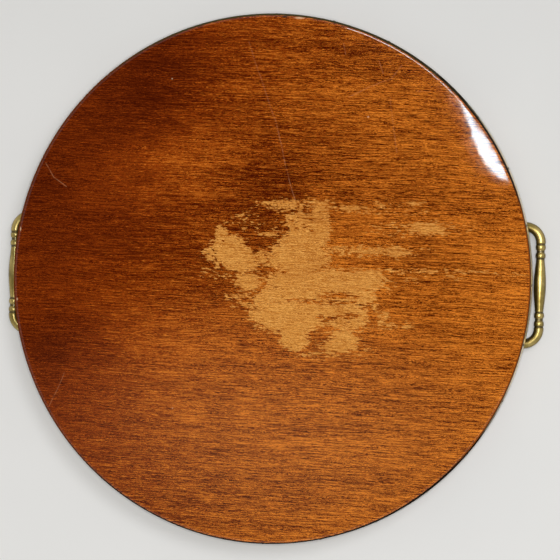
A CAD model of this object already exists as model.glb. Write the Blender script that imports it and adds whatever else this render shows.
"""Looks of the round mahogany tray: worn French polish, aged brass and soft studio light.

Lengths are in metres. A place on the mahogany back is given as (u, v), in fractions of the tray's radius
from its middle: u towards the right handle (+X), v across (+Y).
"""

import math

import bmesh
import bpy
from mathutils import Matrix, Vector


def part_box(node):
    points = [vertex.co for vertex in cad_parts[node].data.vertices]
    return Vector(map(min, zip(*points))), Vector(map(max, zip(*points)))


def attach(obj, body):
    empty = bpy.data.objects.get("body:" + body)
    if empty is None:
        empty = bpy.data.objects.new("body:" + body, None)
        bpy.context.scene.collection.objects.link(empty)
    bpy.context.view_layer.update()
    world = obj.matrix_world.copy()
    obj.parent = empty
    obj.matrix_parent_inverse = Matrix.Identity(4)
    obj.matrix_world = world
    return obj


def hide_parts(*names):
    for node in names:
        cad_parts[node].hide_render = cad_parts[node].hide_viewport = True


MM = 0.001

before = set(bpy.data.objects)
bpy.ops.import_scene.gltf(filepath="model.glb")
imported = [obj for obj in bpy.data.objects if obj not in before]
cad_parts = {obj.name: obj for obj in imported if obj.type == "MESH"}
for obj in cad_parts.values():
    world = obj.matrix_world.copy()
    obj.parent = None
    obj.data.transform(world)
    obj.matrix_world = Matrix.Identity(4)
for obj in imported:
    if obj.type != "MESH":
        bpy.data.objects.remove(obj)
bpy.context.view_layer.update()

band_low, band_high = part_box("edge_band")
veneer_low, veneer_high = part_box("face_veneer")
handle_low, handle_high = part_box("right_handle")

TRAY_R = (band_high.x - band_low.x) / 2
FACE_Z = veneer_high.z
VENEER_R = (veneer_high.x - veneer_low.x) / 2
VENEER_CENTRE = (veneer_low + veneer_high) / 2


# ---------- shader helpers ----------

# How much light a white surface gives back in this studio, so that display colours can be turned into albedo
STUDIO_LEVEL = 0.90


def linear(channel):
    """An sRGB display channel, 0 to 255, as a linear value from 0 to 1."""
    value = channel / 255
    return value / 12.92 if value <= 0.04045 else ((value + 0.055) / 1.055) ** 2.4


def display(red, green, blue):
    """The albedo that shows as this 0 to 255 display colour in the studio light."""
    return tuple(linear(c) / STUDIO_LEVEL for c in (red, green, blue)) + (1.0,)


class Shader:
    """One material's node tree. Each method adds nodes and returns an output socket."""

    def __init__(self, name):
        self.material = bpy.data.materials.new(name)
        self.material.use_nodes = True
        self.tree = self.material.node_tree
        self.tree.nodes.clear()

    def add(self, kind, inputs=None, **settings):
        """A new node of this kind. Each input, by name or number, is a value or another node's output."""
        node = self.tree.nodes.new(kind)
        for name, value in settings.items():
            setattr(node, name, value)
        for key, value in (inputs or {}).items():
            self.feed(node.inputs[key], value)
        return node

    def feed(self, socket, value):
        if isinstance(value, bpy.types.NodeSocket):
            self.tree.links.new(value, socket)
        else:
            socket.default_value = value

    def place(self):
        """Where a point of the piece is, in the row frame."""
        return self.add("ShaderNodeTexCoord").outputs["Object"]

    def math(self, operation, a, b=0.0, clamp=False):
        return self.add("ShaderNodeMath", {0: a, 1: b}, operation=operation, use_clamp=clamp).outputs[0]

    def total(self, *values):
        result = values[0]
        for value in values[1:]:
            result = self.math("ADD", result, value)
        return result

    def times(self, a, b):
        return self.math("MULTIPLY", a, b)

    def centred(self, value, amount):
        """A 0 to 1 value turned into a change of up to half of amount, up or down."""
        return self.times(self.math("SUBTRACT", value, 0.5), amount)

    def vector(self, operation, a, b=(0, 0, 0)):
        return self.add("ShaderNodeVectorMath", {0: a, 1: b}, operation=operation).outputs[0]

    def dot(self, a, b):
        return self.add("ShaderNodeVectorMath", {0: a, 1: b}, operation="DOT_PRODUCT").outputs["Value"]

    def length(self, a):
        return self.add("ShaderNodeVectorMath", {0: a}, operation="LENGTH").outputs["Value"]

    def scaled(self, a, factor):
        return self.add("ShaderNodeVectorMath", {0: a, 3: factor}, operation="SCALE").outputs[0]

    def mapped(self, vector, scale=(1, 1, 1), turn=0.0):
        """The vector scaled, then turned round Z."""
        inputs = {"Vector": vector, "Rotation": (0, 0, turn), "Scale": scale}
        return self.add("ShaderNodeMapping", inputs).outputs[0]

    def step(self, value, low, high, to_low=0.0, to_high=1.0):
        """A smooth step from to_low to to_high as value goes from low to high."""
        return self.add(
            "ShaderNodeMapRange",
            {"Value": value, "From Min": low, "From Max": high, "To Min": to_low, "To Max": to_high},
            interpolation_type="SMOOTHSTEP",
        ).outputs[0]

    def noise(self, vector, scale=1.0, detail=2.0, roughness=0.5, output="Fac"):
        inputs = {"Vector": vector, "Scale": scale, "Detail": detail, "Roughness": roughness}
        return self.add("ShaderNodeTexNoise", inputs).outputs[output]

    def wandering(self, vector, scale, reach):
        """The vector pushed about by slow noise, by up to half of reach each way."""
        push = self.vector("SUBTRACT", self.noise(vector, scale, detail=1, output="Color"), (0.5, 0.5, 0.5))
        return self.vector("ADD", vector, self.scaled(push, reach))

    def mix(self, factor, a, b):
        """The colour a where factor is 0, going over to b where it is 1."""
        node = self.add("ShaderNodeMix", data_type="RGBA")
        for index, value in ((0, factor), (6, a), (7, b)):
            self.feed(node.inputs[index], value)
        return node.outputs[2]

    def ramp(self, value, stops):
        """Colours at positions from 0 to 1."""
        node = self.add("ShaderNodeValToRGB", {0: value})
        elements = node.color_ramp.elements
        while len(elements) < len(stops):
            elements.new(1.0)
        for element, (position, colour) in zip(elements, stops):
            element.position = position
            element.color = colour
        return node.outputs[0]

    def bump(self, height, distance):
        return self.add("ShaderNodeBump", {"Height": height, "Distance": distance}).outputs[0]

    def finish(self, **inputs):
        """Closes the tree with a Principled shader. Input names use _ for spaces."""
        named = {key.replace("_", " "): value for key, value in inputs.items()}
        shader = self.add("ShaderNodeBsdfPrincipled", named)
        output = self.add("ShaderNodeOutputMaterial")
        self.tree.links.new(shader.outputs[0], output.inputs[0])
        return self.material


# ---------- mahogany back ----------

GRAIN_TURN = math.radians(1.5)

# Slow changes of tone in the mahogany: (u, v), radii, how much lighter (+) or darker (-)
TONE_CLOUDS = [
    ((-0.47, 0.73), (0.20, 0.17), -0.22),
    ((0.55, 0.76), (0.22, 0.20), 0.04),
    ((-0.36, 0.46), (0.22, 0.12), 0.20),
    ((0.13, 0.42), (0.17, 0.12), -0.34),
    ((-0.03, 0.29), (0.14, 0.13), -0.38),
    ((0.00, 0.15), (0.08, 0.07), -0.20),
    ((-0.22, 0.02), (0.12, 0.09), -0.18),
    ((0.50, 0.31), (0.26, 0.09), -0.30),
    ((-0.92, 0.30), (0.12, 0.18), -0.12),
    ((-0.45, 0.12), (0.28, 0.12), -0.14),
    ((-0.80, -0.26), (0.16, 0.16), -0.18),
    ((-0.42, -0.22), (0.20, 0.18), 0.12),
    ((-0.15, -0.44), (0.34, 0.20), 0.12),
    ((0.10, -0.62), (0.45, 0.12), 0.08),
    ((0.43, 0.08), (0.12, 0.10), 0.08),
    ((0.60, -0.06), (0.16, 0.18), -0.18),
    ((0.80, -0.12), (0.16, 0.12), -0.10),
    ((0.90, -0.10), (0.12, 0.30), 0.10),
    ((0.60, -0.46), (0.16, 0.12), -0.17),
    ((0.45, -0.30), (0.10, 0.08), -0.10),
    ((0.10, -0.82), (0.65, 0.10), -0.10),
    ((0.30, 0.88), (0.12, 0.08), -0.26),
    ((-0.80, -0.13), (0.14, 0.10), 0.09),
    ((0.52, 0.08), (0.15, 0.09), -0.20),
    ((-0.70, 0.55), (0.14, 0.10), -0.08),
    ((0.42, 0.82), (0.12, 0.10), -0.16),
    ((0.76, -0.30), (0.08, 0.08), 0.12),
    # bands along the grain at the upper right
    ((0.16, 0.876), (0.24, 0.014), -0.14),
    ((0.24, 0.785), (0.26, 0.028), -0.20),
    ((0.30, 0.735), (0.35, 0.012), 0.12),
    ((0.08, 0.570), (0.22, 0.028), -0.12),
    ((-0.45, 0.60), (0.10, 0.08), -0.12),
    ((-0.10, 0.60), (0.12, 0.08), -0.10),
    ((0.55, 0.62), (0.20, 0.08), -0.10),
]

# How much of each cloud's change of tone is used
CLOUD_STRENGTH = 0.8

# How deep the wear goes: well into bare wood, just into it, or only here and there
SOLID, PATCHY, SPARSE = 0.030, 0.006, -0.007

# Where the polish has worn through to bare wood: (u, v), radii, turn in degrees, depth
BARE_SPOTS = [
    # the lobe on the left
    ((-0.132, 0.083), (0.100, 0.055), -25, SOLID),
    ((-0.140, 0.125), (0.055, 0.035), -20, SOLID),
    ((-0.080, -0.015), (0.052, 0.032), -10, SOLID),
    ((-0.187, 0.155), (0.024, 0.036), 0, SOLID),
    ((-0.225, 0.086), (0.032, 0.024), 0, PATCHY),
    ((-0.180, 0.022), (0.060, 0.020), 0, SPARSE),
    ((-0.021, 0.076), (0.045, 0.030), 0, PATCHY),
    # the stem above the middle, and the broken bar across its top
    ((0.196, 0.180), (0.036, 0.060), 0, SOLID),
    ((0.196, 0.245), (0.036, 0.040), 0, PATCHY),
    ((0.189, 0.287), (0.040, 0.014), 0, SOLID),
    ((0.120, 0.135), (0.090, 0.060), 20, SOLID),
    ((0.117, 0.083), (0.118, 0.067), 0, SOLID),
    ((0.070, 0.279), (0.085, 0.018), 0, PATCHY),
    ((0.120, 0.215), (0.060, 0.040), 0, PATCHY),
    ((0.060, 0.190), (0.040, 0.036), 0, SPARSE),
    ((0.080, 0.120), (0.044, 0.060), 0, SOLID),
    # the main patch
    ((0.206, -0.011), (0.235, 0.056), 0, SOLID),
    ((0.158, -0.085), (0.218, 0.080), 0, SOLID),
    ((0.110, -0.150), (0.165, 0.058), 0, SOLID),
    ((-0.015, -0.139), (0.055, 0.030), 0, SOLID),
    ((0.110, -0.220), (0.060, 0.050), 0, SOLID),
    ((0.372, 0.006), (0.078, 0.040), 0, SOLID),
    ((0.350, -0.060), (0.068, 0.045), 0, SOLID),
    ((0.303, -0.139), (0.105, 0.074), 0, SOLID),
    ((0.280, -0.222), (0.095, 0.060), 0, SOLID),
    ((0.255, -0.278), (0.090, 0.012), 0, PATCHY),
    ((0.410, -0.135), (0.055, 0.050), 0, PATCHY),
    # the ridge and islands on the right
    ((0.372, 0.113), (0.140, 0.013), 0, PATCHY),
    ((0.479, 0.113), (0.035, 0.020), 0, SOLID),
    ((0.600, 0.202), (0.070, 0.024), 0, SOLID),
    ((0.482, 0.196), (0.070, 0.020), 0, SPARSE),
    ((0.680, 0.207), (0.060, 0.012), 0, SPARSE),
    ((0.313, 0.271), (0.060, 0.009), 0, PATCHY),
    ((0.427, 0.286), (0.020, 0.008), 0, PATCHY),
    ((0.558, 0.292), (0.016, 0.005), 0, PATCHY),
    ((0.425, 0.262), (0.055, 0.004), 0, SPARSE),
    ((0.562, 0.041), (0.100, 0.0022), 0, PATCHY),
    # flecks around it
    ((0.545, 0.009), (0.012, 0.005), 0, SOLID),
    ((0.703, 0.028), (0.012, 0.004), 0, SOLID),
    ((0.472, -0.166), (0.018, 0.012), 0, PATCHY),
    ((0.541, -0.166), (0.013, 0.007), 0, SOLID),
    ((0.379, -0.258), (0.014, 0.005), 0, SOLID),
    ((-0.111, 0.234), (0.012, 0.004), 0, SOLID),
    ((-0.090, 0.200), (0.028, 0.008), 0, SPARSE),
    ((-0.008, 0.167), (0.020, 0.006), 0, PATCHY),
    ((-0.111, -0.070), (0.032, 0.007), 0, PATCHY),
    ((-0.087, -0.102), (0.022, 0.007), 0, PATCHY),
]

# Where polish is left inside the worn patch: (u, v), radii
ISLANDS = [
    ((0.262, -0.062), (0.060, 0.013)),
    ((0.310, -0.132), (0.030, 0.009)),
    ((0.237, -0.143), (0.028, 0.010)),
    ((0.205, -0.212), (0.045, 0.026)),
    ((0.206, -0.082), (0.070, 0.004)),
]

# Where the bare wood is mottled with polish still in its grain: (u, v), radii
MOTTLED_SPOTS = [
    ((0.29, -0.15), (0.12, 0.10)),
    ((0.27, -0.20), (0.08, 0.04)),
]

# How much shallower the wear is there
MOTTLE_DEPTH = 0.024

# Where the polish is thin, and the wood shows orange through it: (u, v), radii
THIN_SPOTS = [
    ((0.345, 0.17), (0.14, 0.13)),
    ((0.30, 0.05), (0.24, 0.10)),
    ((0.47, -0.10), (0.10, 0.14)),
]

# Where the polish is hazy: (u, v), radii
HAZE_SPOT = ((-0.02, -0.62), (0.65, 0.34))
HAZE_STRENGTH = 0.06

# Hairline scratches, each a run of (u, v) places, with its strength
SCRATCHES = [
    ([(-0.10, 0.89), (-0.04, 0.73), (0.015, 0.58)], 0.40),
    ([(0.015, 0.58), (0.07, 0.37), (0.095, 0.30)], 0.60),
    ([(-0.885, 0.42), (-0.85, 0.365), (-0.80, 0.33)], 0.70),
    ([(0.265, 0.89), (0.275, 0.85)], 0.6),
    ([(0.49, 0.81), (0.45, 0.76), (0.37, 0.73), (0.29, 0.69)], 0.5),
    ([(0.40, 0.83), (0.42, 0.78)], 0.5),
    ([(0.45, 0.69), (0.46, 0.60), (0.48, 0.485)], 0.35),
    ([(-0.79, -0.38), (-0.82, -0.455), (-0.845, -0.505)], 0.55),
    ([(0.55, 0.715), (0.60, 0.715)], 0.4),
]

# How far from its line a scratch fades out
SCRATCH_WIDTH = 0.0032

# Pale specks where a grain of the polish has chipped off, and chips at the rim: (u, v), radii
SPECKS = [
    ((-0.395, 0.748), (0.0020, 0.0020)),
    ((0.367, 0.616), (0.0025, 0.0025)),
    ((-0.36, -0.50), (0.0018, 0.0018)),
    ((0.093, 0.984), (0.014, 0.003)),
    ((-0.977, 0.165), (0.002, 0.006)),
    ((-0.983, -0.103), (0.002, 0.004)),
]

# A black blot at the rim: (u, v), radii
BLOT = ((0.038, 0.988), (0.010, 0.004))


def largest(sh, values):
    """The highest of several outputs. It takes them one by one, so that few are held at a time."""
    result = None
    for value in values:
        result = value if result is None else sh.math("MAXIMUM", result, value)
    return result


def in_spot(sh, where, centre, radii, turn=0.0):
    """Distance from the middle of an ellipse on the face, in its radii."""
    if turn:
        where = sh.mapped(where, turn=-turn)
        centre = Vector(centre) @ Matrix.Rotation(turn, 2)
    along, across = radii
    inputs = {0: where, 1: (1 / along, 1 / across, 0), 2: (-centre[0] / along, -centre[1] / across, 0)}
    return sh.length(sh.add("ShaderNodeVectorMath", inputs, operation="MULTIPLY_ADD").outputs[0])


def soft_spot(sh, where, centre, radii):
    """1 at the middle of a soft ellipse on the face, a half at its radii, 0 from twice its radii out."""
    return sh.step(in_spot(sh, where, centre, radii), 0.0, 2.0, 1.0, 0.0)


def spot_depth(sh, where, centre, radii, turn=0.0):
    """How far a place is inside an ellipse on the face, less than 0 outside it."""
    depth = min(radii)
    inputs = {0: in_spot(sh, where, centre, radii, turn), 1: -depth, 2: depth}
    return sh.add("ShaderNodeMath", inputs, operation="MULTIPLY_ADD").outputs[0]


def wear_depth(sh, where):
    """The worn patch as a depth: above 0 the polish is gone."""
    depth = largest(sh, (
        sh.math("MINIMUM", spot_depth(sh, where, centre, radii, math.radians(turn)), deepest)
        for centre, radii, turn, deepest in BARE_SPOTS
    ))
    mottle = largest(sh, (soft_spot(sh, where, *spot) for spot in MOTTLED_SPOTS))
    depth = sh.total(depth, sh.times(mottle, -MOTTLE_DEPTH))
    islands = largest(sh, (spot_depth(sh, where, *spot) for spot in ISLANDS))
    return sh.math("MINIMUM", depth, sh.times(islands, -1.0))


def scratch_line(sh, where, start, end, width):
    """1 on the straight line between two places on the face, falling to 0 within width."""
    start = Vector((*start, 0))
    run = Vector((*end, 0)) - start
    offset = sh.vector("SUBTRACT", where, start)
    along = sh.math("MULTIPLY", sh.dot(offset, run), 1 / run.length_squared, clamp=True)
    distance = sh.length(sh.vector("SUBTRACT", offset, sh.scaled(run, along)))
    return sh.step(distance, 0.0, width, 1.0, 0.0)


def scratches(sh, where):
    """All the hairline scratches, broken up along their length."""
    flat = sh.vector("MULTIPLY", sh.wandering(where, 14, 0.008), (1, 1, 0))
    strongest = largest(sh, (
        sh.times(scratch_line(sh, flat, start, end, SCRATCH_WIDTH), strength)
        for places, strength in SCRATCHES
        for start, end in zip(places, places[1:])
    ))
    broken = sh.step(sh.noise(where, scale=60, detail=2), 0.35, 0.6, 0.35, 1.0)
    return sh.times(strongest, broken)


# The polish is lighter towards the right and the bottom: its change of tone along u and v, and its mean
TONE_SLOPE = (0.192, -0.08, 0)
MEAN_TONE = 0.480

# Colours of the wood by tone, from the darkest streaks to the lightest
POLISHED_TONES = [
    (0.103, display(62, 15, 2)),
    (0.231, display(86, 27, 5)),
    (0.423, display(124, 47, 9)),
    (0.615, display(151, 63, 14)),
    (0.791, display(180, 84, 18)),
    (0.903, display(207, 109, 28)),
    (1.00, display(227, 134, 43)),
]
BARE_TONES = [
    (0.10, display(150, 80, 24)),
    (0.40, display(192, 118, 42)),
    (0.60, display(210, 139, 56)),
    (0.90, display(232, 173, 92)),
]
HAZE_COLOUR = display(190, 150, 125)
SCRATCH_COLOUR = display(208, 142, 98)
SPECK_COLOUR = display(226, 190, 150)
BLOT_COLOUR = display(30, 16, 8)

# The figure stands out more along this way, and grows to its full strength between these two places on it
FIGURE_WAY = (1, -0.30, 0)
FIGURE_SPAN = (-0.9, 0.9)

# Layers of the wood's figure, each a noise drawn out along the grain: scale along it, scale across it,
# detail, roughness
FIGURE = {
    "ribbons": (1.6, 22, 3, 0.55),
    "streaks": (9, 190, 3, 0.65),
    "fibres": (150, 320, 2, 0.60),
    "pores": (50, 330, 1, 0.50),
    "blotches": (3.5, 6, 3, 0.50),
    "ragged": (14, 55, 3, 0.60),
    "flecks": (42, 130, 3, 0.65),
}


def figure_layers(sh, flat):
    """The layers of figure by name, on grain that wanders a little."""
    grain = sh.mapped(flat, turn=GRAIN_TURN)
    waved = sh.wandering(grain, 2.4, 0.02)
    # Rows of fibres lie at random along the grain, so that they never line up across it
    rows = sh.noise(sh.mapped(grain, scale=(1.5, 260, 1)), detail=1)
    slid = sh.vector("ADD", waved, sh.add("ShaderNodeCombineXYZ", {0: sh.times(rows, 0.25)}).outputs[0])
    layers = {}
    for name, (along, across, detail, roughness) in FIGURE.items():
        place = sh.mapped(slid if name == "fibres" else waved, scale=(along, across, 1))
        layers[name] = sh.noise(place, detail=detail, roughness=roughness)
    layers["pores"] = sh.step(layers["pores"], 0.58, 0.70)
    return layers


def thin_polish(sh, flat, layers):
    """1 where the polish is worn thin, with a ragged edge."""
    field = largest(sh, (soft_spot(sh, flat, *spot) for spot in THIN_SPOTS))
    fray = sh.total(sh.centred(layers["flecks"], 0.8), sh.centred(layers["ragged"], 0.8))
    return sh.step(sh.total(field, fray), 0.30, 0.75)


def polished_colour(sh, where, flat, layers):
    """The polished wood: slow clouds of tone, then the figure, which stands out more towards the right."""
    tone = sh.total(sh.dot(where, TONE_SLOPE), MEAN_TONE, sh.centred(layers["blotches"], 0.18))
    for centre, radii, weight in TONE_CLOUDS:
        tone = sh.total(tone, sh.times(soft_spot(sh, flat, centre, radii), weight * CLOUD_STRENGTH))
    rightward = sh.dot(where, FIGURE_WAY)
    broad = sh.total(sh.centred(layers["ribbons"], 0.80), sh.centred(layers["streaks"], 2.5))
    broad = sh.times(broad, sh.step(rightward, *FIGURE_SPAN, 0.32, 1.95))
    fine = sh.total(sh.centred(layers["fibres"], 5.8), sh.times(layers["pores"], -0.22))
    fine = sh.times(fine, sh.step(rightward, *FIGURE_SPAN, 0.44, 1.85))
    thin = sh.times(thin_polish(sh, flat, layers), 0.15)
    colour = sh.ramp(sh.total(tone, broad, fine, thin), POLISHED_TONES)
    haze = sh.times(soft_spot(sh, flat, *HAZE_SPOT), HAZE_STRENGTH)
    return sh.mix(haze, colour, HAZE_COLOUR)


def bare_colour(sh, where, layers):
    """The dry wood where the polish is gone, a little darker towards the upper right."""
    tone = sh.total(
        0.5,
        sh.centred(layers["streaks"], 1.6),
        sh.centred(layers["fibres"], 5.5),
        sh.times(layers["pores"], -0.25),
        sh.centred(layers["blotches"], 0.4),
        sh.dot(where, (-0.12, -0.25, 0)),
    )
    return sh.ramp(tone, BARE_TONES)


def with_marks(sh, where, flat, colour):
    """The colour with scratches and specks, which show the pale ground of the polish, and the blot."""
    colour = sh.mix(sh.times(scratches(sh, where), 0.5), colour, SCRATCH_COLOUR)
    specks = largest(sh, (soft_spot(sh, flat, *spot) for spot in SPECKS))
    colour = sh.mix(sh.times(specks, 0.8), colour, SPECK_COLOUR)
    return sh.mix(soft_spot(sh, flat, *BLOT), colour, BLOT_COLOUR)


def mahogany_back():
    """Ribbon-figured mahogany under old French polish, worn through to bare wood in the middle."""
    sh = Shader("mahogany_back")
    where = sh.scaled(sh.place(), 1 / TRAY_R)
    flat = sh.vector("MULTIPLY", where, (1, 1, 0))
    layers = figure_layers(sh, flat)

    # The edge of the wear is frayed along the grain
    fray = sh.total(sh.centred(layers["ragged"], 0.035), sh.centred(layers["flecks"], 0.095))
    bare = sh.step(sh.total(wear_depth(sh, flat), fray), -0.002, 0.002)
    colour = sh.mix(bare, polished_colour(sh, where, flat, layers), bare_colour(sh, where, layers))

    # The polish is a glossy coat, which is gone from the bare wood and rubbed off the rim on the right
    at_rim = sh.step(sh.length(flat), 0.987, 0.991)
    off_rim = sh.math("MINIMUM", at_rim, sh.step(sh.dot(flat, (1, 0, 0)), 0.90, 0.94))
    coat_relief = sh.total(sh.noise(flat, scale=9, detail=2), sh.times(layers["streaks"], 0.01))
    return sh.finish(
        Base_Color=with_marks(sh, where, flat, colour),
        Roughness=0.6,
        Specular_IOR_Level=0.0,
        Normal=sh.bump(sh.times(layers["pores"], -0.5), 0.10 * MM),
        Coat_Weight=sh.step(sh.math("MAXIMUM", bare, off_rim), 0.1, 0.7, 1.0, 0.0),
        Coat_Roughness=0.03,
        Coat_Normal=sh.bump(coat_relief, 0.03 * MM),
    )


# ---------- other woods ----------


def mahogany_floor():
    """The tray's floor, on the gallery side: the same veneer, kept dark and glossy."""
    sh = Shader("mahogany_floor")
    waved = sh.wandering(sh.scaled(sh.place(), 1 / TRAY_R), 2.4, 0.06)
    ribbons = sh.noise(sh.mapped(waved, scale=(1.4, 18, 1)), detail=3)
    fibres = sh.noise(sh.mapped(waved, scale=(20, 260, 1)), detail=4, roughness=0.7)
    tone = sh.total(0.45, sh.centred(ribbons, 0.8), sh.centred(fibres, 0.7))
    colour = sh.ramp(tone, [
        (0.05, display(70, 20, 4)),
        (0.45, display(118, 46, 10)),
        (0.95, display(166, 84, 24)),
    ])
    return sh.finish(
        Base_Color=colour,
        Roughness=sh.step(fibres, 0.3, 0.7, 0.30, 0.42),
        Normal=sh.bump(fibres, 0.03 * MM),
        Coat_Weight=1.0,
        Coat_Roughness=0.08,
    )


def core_wood():
    """The plies, seen only where the board is cut or drilled."""
    sh = Shader("core_wood")
    place = sh.place()
    fibres = sh.noise(sh.mapped(place, scale=(60, 900, 900)), detail=4, roughness=0.7)
    colour = sh.ramp(fibres, [(0.3, display(150, 112, 70)), (0.7, display(206, 168, 118))])
    return sh.finish(Base_Color=colour, Roughness=0.75, Normal=sh.bump(fibres, 0.05 * MM))


# ---------- brass ----------


def handle_dirt(sh, place):
    """Dirt on a handle: on its sides, most of all those that face the tray's middle, and in its grooves."""
    facing = sh.add("ShaderNodeNewGeometry").outputs["Normal"]
    upright = sh.math("ABSOLUTE", sh.dot(facing, (0, 0, 1)))
    outward = sh.vector("NORMALIZE", sh.vector("MULTIPLY", place, (1, 0, 0)))
    inner = sh.step(sh.dot(facing, outward), 0.2, -0.6)
    dirt = sh.total(sh.step(upright, 0.85, 0.25, 0.0, 0.55), sh.times(inner, 0.55))
    along = sh.math("ABSOLUTE", sh.dot(place, (0, 1, 0)))
    for groove in KNOP_GROOVES:
        beside = sh.math("ABSOLUTE", sh.math("SUBTRACT", along, groove))
        dirt = sh.math("MAXIMUM", dirt, sh.step(beside, 0.3 * MM, 1.5 * MM, 0.85, 0.0))
    return dirt


def brass(name, bright, dull, dirt_level, roughness, relief, on_handle=False):
    """Brass with a mottled patina. dirt_level is how much dirt lies in its hollows and patches."""
    sh = Shader(name)
    place = sh.place()
    mottle = sh.noise(place, scale=110, detail=3, roughness=0.5)
    cast = sh.noise(place, scale=800, detail=3, roughness=0.6)
    clouds = sh.noise(place, scale=45, detail=3)
    height = sh.total(sh.times(mottle, 0.8), sh.times(cast, 0.2))
    colour = sh.mix(sh.step(height, 0.35, 0.65), dull, bright)
    pointed = sh.add("ShaderNodeNewGeometry").outputs["Pointiness"]
    hollow = sh.step(pointed, 0.44, 0.50, 1.0, 0.0)
    spots = sh.step(sh.total(sh.times(clouds, 0.7), sh.times(cast, 0.3)), 0.54, 0.68)
    dirty = sh.times(sh.math("MAXIMUM", hollow, sh.times(spots, 0.5)), dirt_level)
    if on_handle:
        dirty = sh.math("MAXIMUM", dirty, handle_dirt(sh, place))
    colour = sh.mix(dirty, colour, BRASS_DIRT)
    rough = sh.total(roughness, sh.centred(mottle, 0.14), sh.times(dirty, 0.25))
    # The coat is the film of old lacquer, which whitens the highlights
    return sh.finish(
        Base_Color=colour,
        Metallic=1.0,
        Roughness=rough,
        Normal=sh.bump(height, relief),
        Coat_Weight=0.3,
        Coat_Roughness=0.25,
    )


# Colours of the edge band: its two tarnishes and their glints, the browned lip, and the rubbed metal
BAND_BLACK = (0.014, 0.011, 0.008, 1)
BAND_OLIVE = (0.060, 0.048, 0.018, 1)
BAND_GLINT = (0.30, 0.23, 0.10, 1)
BAND_BROWN = display(96, 44, 15)
BAND_TAN = display(130, 66, 22)
BAND_DULL_METAL = (0.60, 0.49, 0.30, 1)
BAND_BRIGHT_METAL = (0.80, 0.70, 0.52, 1)


def band_brass():
    """The edge band: dark tarnish, browner at the left and right, and bare metal low on its right wall."""
    sh = Shader("band_brass")
    place = sh.place()
    where = sh.scaled(place, 1 / TRAY_R)
    flat = sh.vector("MULTIPLY", where, (1, 1, 0))
    patches = sh.noise(flat, scale=16, detail=3)
    grime = sh.noise(where, scale=90, detail=3, roughness=0.6)
    on_wall = sh.step(sh.length(flat), 0.9985, 0.9995)

    olive = sh.step(sh.total(sh.dot(flat, (-0.3, 1, 0)), sh.centred(patches, 0.8)), 0.3, 1.1)
    tarnish = sh.mix(olive, BAND_BLACK, BAND_OLIVE)
    glints = sh.times(sh.step(sh.total(sh.times(grime, 0.6), sh.times(patches, 0.4)), 0.60, 0.68), 0.35)
    tarnish = sh.mix(glints, tarnish, BAND_GLINT)
    left = sh.step(sh.total(sh.dot(flat, (-1, 0.1, 0)), sh.centred(patches, 0.4)), 0.45, 0.80)
    tarnish = sh.mix(left, tarnish, BAND_BROWN)
    right = sh.step(sh.total(sh.dot(flat, (0.978, -0.208, 0)), sh.centred(patches, 0.1)), 0.82, 0.90)
    right_lip = sh.times(right, sh.math("SUBTRACT", 1.0, on_wall))
    tarnish = sh.mix(right_lip, tarnish, BAND_TAN)

    low = sh.step(sh.dot(place, (0, 0, 1)), FACE_Z - 1.2 * MM, FACE_Z - 2.8 * MM)
    far_right = sh.step(sh.total(sh.dot(flat, (1, 0.08, 0)), sh.centred(patches, 0.15)), 0.76, 0.92)
    rubbed = sh.times(sh.times(on_wall, low), far_right)
    bright = sh.mix(sh.step(grime, 0.35, 0.65), BAND_DULL_METAL, BAND_BRIGHT_METAL)
    return sh.finish(
        Base_Color=sh.mix(rubbed, tarnish, bright),
        Metallic=rubbed,
        Specular_IOR_Level=0.0,
        Roughness=sh.total(0.45, sh.centred(grime, 0.2)),
        Normal=sh.bump(grime, 0.02 * MM),
    )


# ---------- mesh helpers ----------

# Edges that bend more than this are shaded sharp
SHARP_ANGLE = math.radians(40)


def new_piece(name, build, material, stands_for):
    """A mesh piece built by build(bm), shaded smooth, in place of one CAD node."""
    bm = bmesh.new()
    build(bm)
    bmesh.ops.recalc_face_normals(bm, faces=bm.faces)
    mesh = bpy.data.meshes.new(name)
    bm.to_mesh(mesh)
    bm.free()
    mesh.shade_smooth()
    mesh.set_sharp_from_angle(angle=SHARP_ANGLE)
    mesh.materials.append(material)
    piece = bpy.data.objects.new(name, mesh)
    bpy.context.scene.collection.objects.link(piece)
    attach(piece, "root")
    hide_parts(stands_for)


def join_rings(bm, rings, closed):
    """Faces between neighbouring rings of vertices, each ring closed on itself."""
    pairs = list(zip(rings, rings[1:]))
    if closed:
        pairs.append((rings[-1], rings[0]))
    for a, b in pairs:
        for i in range(len(a)):
            j = (i + 1) % len(a)
            bm.faces.new((a[i], a[j], b[j], b[i]))


def circle_point(centre, radius, angle, z):
    """A point on a level circle."""
    return Vector((centre.x + radius * math.cos(angle), centre.y + radius * math.sin(angle), z))


# Vertices round the tray
ROUND_STEPS = 720


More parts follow.
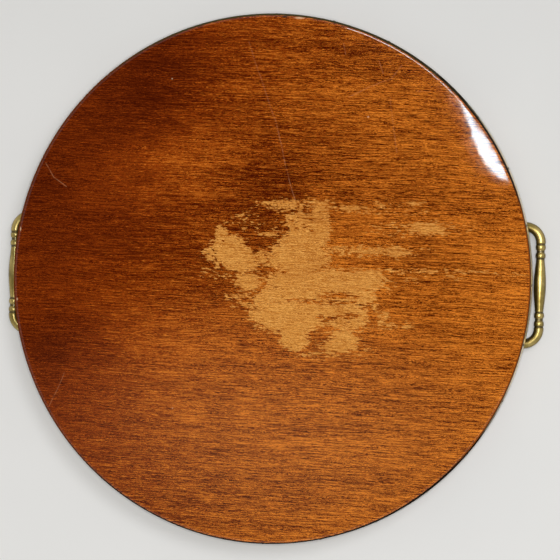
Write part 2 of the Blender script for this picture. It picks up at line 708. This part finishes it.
def build_veneer(bm):
    """A thin disc: flat, then rolled off by the sanding near its rim, with an eased top edge."""
    ease = 0.2 * MM
    roll, drop = 1.2 * MM, 0.08 * MM
    guard = 0.05 * MM
    flat_rings, roll_steps, arc_steps = 24, 12, 4
    roll_start = VENEER_R - ease - roll
    section = [(roll_start * k / flat_rings, FACE_Z) for k in range(1, flat_rings)]
    # A ring just inside the rolled rim keeps the shading of the flat face flat
    section.append((roll_start - guard, FACE_Z))
    for k in range(roll_steps + 1):
        share = k / roll_steps
        section.append((roll_start + roll * share, FACE_Z - drop * share**2))
    for k in range(1, arc_steps + 1):
        turn = math.pi / 2 * k / arc_steps
        z = FACE_Z - drop - ease + ease * math.cos(turn)
        section.append((VENEER_R - ease + ease * math.sin(turn), z))
    section.append((VENEER_R, veneer_low.z))
    rings = []
    for radius, z in section:
        rings.append([
            bm.verts.new(circle_point(VENEER_CENTRE, radius, math.tau * i / ROUND_STEPS, z))
            for i in range(ROUND_STEPS)
        ])
    join_rings(bm, rings, closed=False)
    middle = bm.verts.new(Vector((VENEER_CENTRE.x, VENEER_CENTRE.y, FACE_Z)))
    for i in range(ROUND_STEPS):
        bm.faces.new((middle, rings[0][i], rings[0][(i + 1) % ROUND_STEPS]))
    bm.faces.new(list(reversed(rings[-1])))


# ---------- handles ----------

# Radii of the casting, from the middle of the grip to the foot, and of the line that its corner follows
GRIP_R = 4.65 * MM
GRIP_END_R = 3.15 * MM
NECK_R = 3.0 * MM
KNOP_R = 3.8 * MM
KNOP_HALF_W = 2.2 * MM
# How far the middles of the knops are from the middle of the bar
KNOP_AT = (22.6 * MM, 29.1 * MM)
# The grooves beside and between the two knops of a pair
KNOP_GROOVES = (KNOP_AT[0] - KNOP_HALF_W, (KNOP_AT[0] + KNOP_AT[1]) / 2, KNOP_AT[1] + KNOP_HALF_W)
ARM_R = 3.7 * MM
FOOT_R = 3.2 * MM
CORNER_R = 12 * MM
# How much of the taper from arm to foot is done at the end of the corner
CORNER_TAPER = 0.4

HANDLE_Z = (handle_low.z + handle_high.z) / 2
BAR_X = handle_high.x - GRIP_R
ARM_Y = handle_high.y - ARM_R
FOOT_X = handle_low.x


def bar_radius(y):
    """Radius of the straight bar at a distance from its middle: the grip, the two knops and the flare."""
    y = abs(y)
    grip_end = KNOP_AT[0] - KNOP_HALF_W
    straight = ARM_Y - CORNER_R
    if y < grip_end:
        radius = GRIP_END_R + (GRIP_R - GRIP_END_R) * math.cos(math.pi / 2 * y / grip_end) ** 1.3
    else:
        flare = max(0.0, (y - KNOP_AT[1]) / (straight - KNOP_AT[1]))
        radius = NECK_R + (ARM_R - NECK_R) * flare**1.5
    for knop in KNOP_AT:
        off = (y - knop) / KNOP_HALF_W
        if abs(off) < 1:
            radius = max(radius, NECK_R + (KNOP_R - NECK_R) * math.sqrt(1 - off * off))
    return radius


def half_handle():
    """Places (x, y), directions and radii from the middle of the bar round the corner to the foot."""
    straight = ARM_Y - CORNER_R
    stations = []
    bar_steps = 150
    for k in range(bar_steps):
        y = straight * k / bar_steps
        stations.append((Vector((BAR_X, y)), Vector((0, 1)), bar_radius(y)))
    corner_steps = 28
    for k in range(corner_steps + 1):
        turn = math.pi / 2 * k / corner_steps
        centre = Vector((BAR_X - CORNER_R, straight))
        out = Vector((math.cos(turn), math.sin(turn)))
        heading = Vector((-math.sin(turn), math.cos(turn)))
        radius = ARM_R + (FOOT_R - ARM_R) * CORNER_TAPER * k / corner_steps
        stations.append((centre + out * CORNER_R, heading, radius))
    arm_steps = 8
    arm_start = BAR_X - CORNER_R
    for k in range(1, arm_steps + 1):
        x = arm_start + (FOOT_X - arm_start) * k / arm_steps
        taper = CORNER_TAPER + (1 - CORNER_TAPER) * k / arm_steps
        stations.append((Vector((x, ARM_Y)), Vector((-1, 0)), ARM_R + (FOOT_R - ARM_R) * taper))
    return stations


def build_handle(side, bm):
    """One casting, swept as a round bar of changing thickness along its D-shaped line."""
    sides = 48
    upper = half_handle()
    lower = [(Vector((p.x, -p.y)), Vector((-d.x, d.y)), r) for p, d, r in upper[1:]]
    rings = []
    for place, heading, radius in list(reversed(lower)) + upper:
        outward = Vector((heading.y, -heading.x))
        ring = []
        for i in range(sides):
            turn = math.tau * i / sides
            flat = place + outward * radius * math.cos(turn)
            ring.append(bm.verts.new((side * flat.x, side * flat.y, HANDLE_Z + radius * math.sin(turn))))
        rings.append(ring)
    join_rings(bm, rings, closed=False)
    bm.faces.new(rings[0])
    bm.faces.new(list(reversed(rings[-1])))


# ---------- edge band ----------

# The gap between the veneer and the lip
LIP_GAP = 0.05 * MM
BAND_EASE = 0.4 * MM
CROWN = 0.12 * MM
CORE_R = TRAY_R - 1.6 * MM


def lip_radius(angle):
    """Distance from the tray's middle to the lip's opening, which is a little out of centre."""
    shift = math.hypot(VENEER_CENTRE.x, VENEER_CENTRE.y)
    off = angle - math.atan2(VENEER_CENTRE.y, VENEER_CENTRE.x)
    opening = VENEER_R + LIP_GAP
    return shift * math.cos(off) + math.sqrt(opening**2 - (shift * math.sin(off)) ** 2)


def build_band(bm):
    """The brass band: a wall round the board with eased corners and a lip round the mahogany."""
    low, high = band_low.z, band_high.z
    arc_steps = 5
    lip_steps = 4
    rings = []
    for i in range(ROUND_STEPS):
        angle = math.tau * i / ROUND_STEPS
        lip = lip_radius(angle)
        section = [(CORE_R, low)]
        for k in range(arc_steps + 1):
            turn = math.pi / 2 * k / arc_steps
            out = BAND_EASE * math.sin(turn)
            section.append((TRAY_R - BAND_EASE + out, low + BAND_EASE * (1 - math.cos(turn))))
        for k in range(arc_steps + 1):
            turn = math.pi / 2 * k / arc_steps
            out = BAND_EASE * math.cos(turn)
            section.append((TRAY_R - BAND_EASE + out, high - BAND_EASE * (1 - math.sin(turn))))
        for k in range(1, lip_steps + 1):
            share = k / lip_steps
            radius = TRAY_R - BAND_EASE + (lip - TRAY_R + BAND_EASE) * share
            section.append((radius, high - CROWN * share**2))
        section.append((lip, veneer_low.z))
        section.append((CORE_R, veneer_low.z))
        rings.append([bm.verts.new((r * math.cos(angle), r * math.sin(angle), z)) for r, z in section])
    join_rings(bm, rings, closed=True)


# ---------- pieces ----------

WARM_BRASS = (0.48, 0.36, 0.12, 1)
OLIVE_BRASS = (0.24, 0.175, 0.04, 1)
TAN_BRASS = (0.26, 0.19, 0.07, 1)
DARK_BRASS = (0.10, 0.07, 0.03, 1)
BLACK_BRASS = (0.05, 0.035, 0.015, 1)
BRASS_DIRT = (0.045, 0.032, 0.012, 1)

# Two colours of the patina, level of dirt, roughness, relief
aged_brass = brass("aged_brass", WARM_BRASS, OLIVE_BRASS, 0.8, 0.27, 0.02 * MM)
handle_brass = brass("handle_brass", WARM_BRASS, OLIVE_BRASS, 0.8, 0.32, 0.02 * MM, on_handle=True)
pin_brass = brass("pin_brass", DARK_BRASS, BLACK_BRASS, 0.7, 0.40, 0.02 * MM)
fixing_brass = brass("fixing_brass", OLIVE_BRASS, TAN_BRASS, 0.7, 0.34, 0.03 * MM)

# Finishes of the carried-over CAD nodes, by a part of their names. The first that fits is taken.
CAD_FINISHES = {
    "core_ply_": core_wood(),
    "inner_veneer": mahogany_floor(),
    "edge_band_pins": pin_brass,
    "gallery_wall": aged_brass,
    "gallery_bead": aged_brass,
    "gallery_seam_plate": aged_brass,
    "gallery_seam_rivets": fixing_brass,
    "gallery_flange_screws": fixing_brass,
    "saddle": aged_brass,
    "washer": fixing_brass,
    "screw": fixing_brass,
}

for name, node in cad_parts.items():
    for part_of_name, finish in CAD_FINISHES.items():
        if part_of_name in name:
            node.data.materials.clear()
            node.data.materials.append(finish)
            break

new_piece("mahogany_back", build_veneer, mahogany_back(), "face_veneer")
new_piece("brass_edge_band", build_band, band_brass(), "edge_band")
for side_name, side in (("right", 1), ("left", -1)):
    new_piece(f"{side_name}_handle_casting", lambda bm, s=side: build_handle(s, bm), handle_brass,
              f"{side_name}_handle")


# ---------- stage and camera ----------

# The camera looks down from the right, a little off the vertical
CAMERA_TILT = math.radians(12.8)
CAMERA_DISTANCE = 3.168
CAMERA_ROLL = math.radians(1.51)
CAMERA_AIM = Vector((9.05 * MM, -0.83 * MM, FACE_Z))
# Half of what the view takes in at the distance of its aim
VIEW_HALF_WIDTH = 214.1 * MM
SENSOR_WIDTH = 36
CLIP_END = 20


def add_camera():
    """A camera tilted towards the right, aimed beside the tray's middle and rolled a little."""
    back = Vector((math.sin(CAMERA_TILT), 0, math.cos(CAMERA_TILT)))
    data = bpy.data.cameras.new("camera")
    data.sensor_width = SENSOR_WIDTH
    data.lens = SENSOR_WIDTH / 2 * CAMERA_DISTANCE / VIEW_HALF_WIDTH
    data.clip_end = CLIP_END
    camera = bpy.data.objects.new("camera", data)
    right = Vector((0, 1, 0)).cross(back).normalized()
    up = back.cross(right)
    turned_right = right * math.cos(CAMERA_ROLL) + up * math.sin(CAMERA_ROLL)
    turned_up = up * math.cos(CAMERA_ROLL) - right * math.sin(CAMERA_ROLL)
    axes = Matrix((turned_right, turned_up, back)).transposed()
    camera.matrix_world = Matrix.Translation(CAMERA_AIM + back * CAMERA_DISTANCE) @ axes.to_4x4()
    bpy.context.scene.collection.objects.link(camera)
    bpy.context.scene.camera = camera
    return camera


def add_area(name, place, size, power, colour=(1, 1, 1)):
    """A round soft light aimed at the tray."""
    data = bpy.data.lights.new(name, "AREA")
    data.shape = "DISK"
    data.size = size
    data.energy = power
    data.color = colour
    light = bpy.data.objects.new(name, data)
    light.location = place
    light.rotation_euler = (-Vector(place)).to_track_quat("-Z", "Y").to_euler()
    light.visible_camera = False
    bpy.context.scene.collection.objects.link(light)


def add_card(name, outline, material):
    """A flat polygon over the tray that only glossy rays see."""
    mesh = bpy.data.meshes.new(name)
    mesh.from_pydata([tuple(p) for p in outline], [], [list(range(len(outline)))])
    mesh.materials.append(material)
    card = bpy.data.objects.new(name, mesh)
    for ray in ("camera", "diffuse", "transmission", "volume_scatter", "shadow"):
        setattr(card, "visible_" + ray, False)
    bpy.context.scene.collection.objects.link(card)


def mirrored(camera, u, v, height):
    """Where a ray from the camera lands at a height over the face, after the face at (u, v) mirrors it."""
    on_face = Vector((u * TRAY_R, v * TRAY_R, FACE_Z))
    ray = on_face - camera.matrix_world.translation
    return on_face + Vector((ray.x, ray.y, -ray.z)) * (height / -ray.z)


def glow(name, strength, colour=(1, 1, 1, 1)):
    """A material that only glows. With a strength of 0 it is black."""
    material = bpy.data.materials.new(name)
    material.use_nodes = True
    tree = material.node_tree
    tree.nodes.clear()
    emission = tree.nodes.new("ShaderNodeEmission")
    emission.inputs["Color"].default_value = colour
    emission.inputs["Strength"].default_value = strength
    output = tree.nodes.new("ShaderNodeOutputMaterial")
    tree.links.new(emission.outputs[0], output.inputs[0])
    return material


# The window is a bright card at this height over the face. Its mirror image, as (u, v) places, lies over the
# upper right edge of the face, and goes on past the edge, where only the rolled rim can mirror it.
WINDOW_HEIGHT = 1.2
WINDOW_GLOW = 30
WINDOW_COLOUR = (0.72, 0.90, 1.0, 1)
WINDOW_IMAGE = [
    (0.30, 1.02), (0.64, 0.84), (0.69, 0.75), (0.70, 0.705), (0.72, 0.665), (0.748, 0.60), (0.775, 0.53),
    (0.80, 0.475), (0.83, 0.435), (0.87, 0.40), (0.905, 0.385), (0.895, 0.405), (0.870, 0.456),
    (0.842, 0.51), (0.808, 0.562), (0.773, 0.612), (0.76, 0.66), (0.88, 0.84), (0.70, 1.12), (0.38, 1.26),
]

# A black card higher up, which keeps the pale walls out of the face's polish
FLAG_HEIGHT = 1.9
FLAG_IMAGE = [(-1.2, -1.2), (1.2, -1.2), (1.2, 1.2), (-1.2, 1.2)]

FLOOR_HALF = 8.0
# The floor lies this far below the tray, so that the two never touch
FLOOR_DROP = 0.05 * MM
FLOOR_TONES = [(0.3, (0.79, 0.79, 0.785, 1)), (0.7, (0.82, 0.82, 0.815, 1))]


def build_floor():
    """A pale floor just under the tray, a little paler towards the lower left of the view."""
    sh = Shader("floor")
    texture = sh.noise(sh.place(), scale=6, detail=3)
    paler = sh.step(sh.dot(sh.place(), (-0.59, -0.81, 0)), -0.5, 0.5, 0.90, 1.10)
    floor_colour = sh.scaled(sh.ramp(texture, FLOOR_TONES), paler)
    floor_material = sh.finish(Base_Color=floor_colour, Roughness=0.85, Specular_IOR_Level=0.2)
    mesh = bpy.data.meshes.new("floor")
    corners = [(-1, -1), (1, -1), (1, 1), (-1, 1)]
    mesh.from_pydata([(x * FLOOR_HALF, y * FLOOR_HALF, 0) for x, y in corners], [], [(0, 1, 2, 3)])
    mesh.materials.append(floor_material)
    floor = bpy.data.objects.new("floor", mesh)
    floor.location.z = -FLOOR_DROP
    bpy.context.scene.collection.objects.link(floor)


# Light from all round, which fills the shadows
AMBIENT = 0.20
AMBIENT_COLOUR = (1.0, 0.95, 0.83, 1)

# The walls that glossy surfaces mirror: their colour, and how bright they are at the horizon and overhead
WALL_COLOUR = (1.0, 0.99, 0.97, 1)
WALL_LEVELS = (0.95, 0.55)

BACKDROP_COLOUR = (0.74, 0.74, 0.735, 1)


def build_world():
    """Warm light from all round, pale walls for glossy rays only, and an even backdrop for the camera."""
    world = bpy.data.worlds.new("studio")
    world.use_nodes = True
    tree = world.node_tree
    tree.nodes.clear()

    def add(kind, **inputs):
        node = tree.nodes.new(kind)
        for name, value in inputs.items():
            socket = node.inputs[name.replace("_", " ")]
            if isinstance(value, bpy.types.NodeSocket):
                tree.links.new(value, socket)
            else:
                socket.default_value = value
        return node

    up = add("ShaderNodeSeparateXYZ", Vector=add("ShaderNodeTexCoord").outputs["Generated"]).outputs["Z"]
    low, high = WALL_LEVELS
    level = add("ShaderNodeMapRange", Value=up, From_Min=0.0, From_Max=0.9, To_Min=low, To_Max=high)
    walls = add("ShaderNodeBackground", Color=WALL_COLOUR, Strength=level.outputs[0])
    ambient = add("ShaderNodeBackground", Color=AMBIENT_COLOUR, Strength=AMBIENT)
    backdrop = add("ShaderNodeBackground", Color=BACKDROP_COLOUR)
    ray = add("ShaderNodeLightPath").outputs

    def choose(test, other, chosen):
        mix = add("ShaderNodeMixShader")
        for socket, value in zip(mix.inputs, (test, other.outputs[0], chosen.outputs[0])):
            tree.links.new(value, socket)
        return mix

    lit = choose(ray["Is Glossy Ray"], ambient, walls)
    seen = choose(ray["Is Camera Ray"], lit, backdrop)
    add("ShaderNodeOutputWorld", Surface=seen.outputs[0])
    bpy.context.scene.world = world


# Most of the light comes from just behind the camera, so the tray hides its own shadow. The key is at the
# upper right, and its soft shadow falls to the lower left.
FRONT_AT = 1.12  # its place, as a multiple of the camera's
FRONT_SIZE = 0.6
FRONT_POWER = 67
KEY_PLACE = (1.04, 0.60, 2.08)
KEY_SIZE = 1.0
KEY_POWER = 13.5
KEY_COLOUR = (0.97, 0.98, 1.0)


def build_stage(camera):
    """The floor, the two lights, the two cards, the world and the view transform."""
    build_floor()
    add_area("front", camera.matrix_world.translation * FRONT_AT, FRONT_SIZE, FRONT_POWER)
    add_area("key", KEY_PLACE, KEY_SIZE, KEY_POWER, KEY_COLOUR)
    window = [mirrored(camera, u, v, WINDOW_HEIGHT) for u, v in WINDOW_IMAGE]
    add_card("window", window, glow("window_glow", WINDOW_GLOW, WINDOW_COLOUR))
    flag = [mirrored(camera, u, v, FLAG_HEIGHT) for u, v in FLAG_IMAGE]
    add_card("flag", flag, glow("flag_black", 0.0))
    build_world()
    bpy.context.scene.view_settings.view_transform = "Standard"


build_stage(add_camera())
